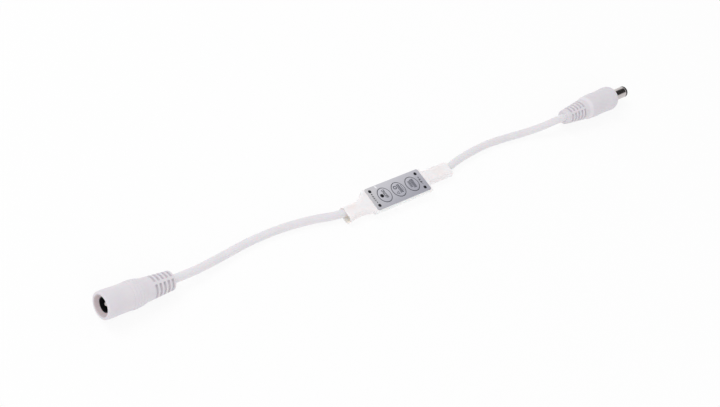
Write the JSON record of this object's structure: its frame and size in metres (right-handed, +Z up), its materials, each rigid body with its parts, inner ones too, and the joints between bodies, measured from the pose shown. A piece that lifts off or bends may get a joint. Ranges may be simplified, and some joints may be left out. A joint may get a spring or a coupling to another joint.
{
  "type": "inline led dimmer",
  "caption": "Flat sleeved in-line dimmer for low-voltage LED strips, with oval push keys, a DC socket on one lead and a DC plug on the other.",
  "frame": {"origin": "on the surface that the sleeve lies on, under the middle of the sleeve's length", "axes": "+X along the sleeve from the socket's side to the plug's side, +Z up out of the keys"},
  "size_m": [0.3088, 0.0148, 0.012],
  "materials": {
    "sleeve_film": "satin milky shrink film",
    "label_film": "satin printed film",
    "board_laminate": "solder mask",
    "package_resin": "moulded resin",
    "capacitor_ceramic": "fired ceramic",
    "solder": "bright solder",
    "tinned_metal": "tinned",
    "red_insulation": "smooth insulation",
    "black_insulation": "smooth insulation",
    "cable_jacket": "satin flexible jacket",
    "connector_moulding": "satin moulding",
    "socket_plastic": "moulded",
    "nickel_plate": "polished plate",
    "spring_metal": "stamped",
    "switch_plastic": "moulded"
  },
  "bodies": {
    "dimmer": {"ceramic_capacitors": "capacitor_ceramic", "chip_resistors": "package_resin", "circuit_board": "board_laminate", "face_label": "label_film", "heat_shrink_sleeve": "sleeve_film", "input_cable": "cable_jacket", "input_cable_end": "cable_jacket", "input_negative_wire": "black_insulation", "input_positive_wire": "red_insulation", "jack_cable_end": "cable_jacket", "jack_center_pin": "nickel_plate", "jack_contact_spring": "spring_metal", "jack_insulator": "socket_plastic", "jack_lead_wires": "red_insulation", "jack_overmould": "connector_moulding", "microcontroller": "package_resin", "mosfet": "package_resin", "output_cable": "cable_jacket", "output_cable_end": "cable_jacket", "output_negative_wire": "black_insulation", "output_positive_wire": "red_insulation", "plug_barrel": "nickel_plate", "plug_cable_end": "cable_jacket", "plug_center_contact": "spring_metal", "plug_lead_wires": "red_insulation", "plug_overmould": "connector_moulding", "plug_tip_insulator": "socket_plastic", "solder_joints": "solder", "switch_base_left": "switch_plastic", "switch_base_middle": "switch_plastic", "switch_base_right": "switch_plastic", "switch_cover_left": "tinned_metal", "switch_cover_middle": "tinned_metal", "switch_cover_right": "tinned_metal", "switch_dome_left": "spring_metal", "switch_dome_middle": "spring_metal", "switch_dome_right": "spring_metal", "switch_terminals": "tinned_metal", "voltage_regulator": "package_resin"},
    "left_button": {"button_left": "label_film", "switch_stem_left": "switch_plastic"},
    "middle_button": {"button_middle": "label_film", "switch_stem_middle": "switch_plastic"},
    "right_button": {"button_right": "label_film", "switch_stem_right": "switch_plastic"}
  },
  "joints": [
    {"name": "left_button_press", "type": "slide", "parent": "dimmer", "child": "left_button", "axis": [0, 0, -1], "range_m": [0, 0.00025], "stiffness_N_per_m": 6400, "deforming": ["switch_dome_left"]},
    {"name": "middle_button_press", "type": "slide", "parent": "dimmer", "child": "middle_button", "axis": [0, 0, -1], "range_m": [0, 0.00025], "stiffness_N_per_m": 6400, "deforming": ["switch_dome_middle"]},
    {"name": "right_button_press", "type": "slide", "parent": "dimmer", "child": "right_button", "axis": [0, 0, -1], "range_m": [0, 0.00025], "stiffness_N_per_m": 6400, "deforming": ["switch_dome_right"]}
  ]
}
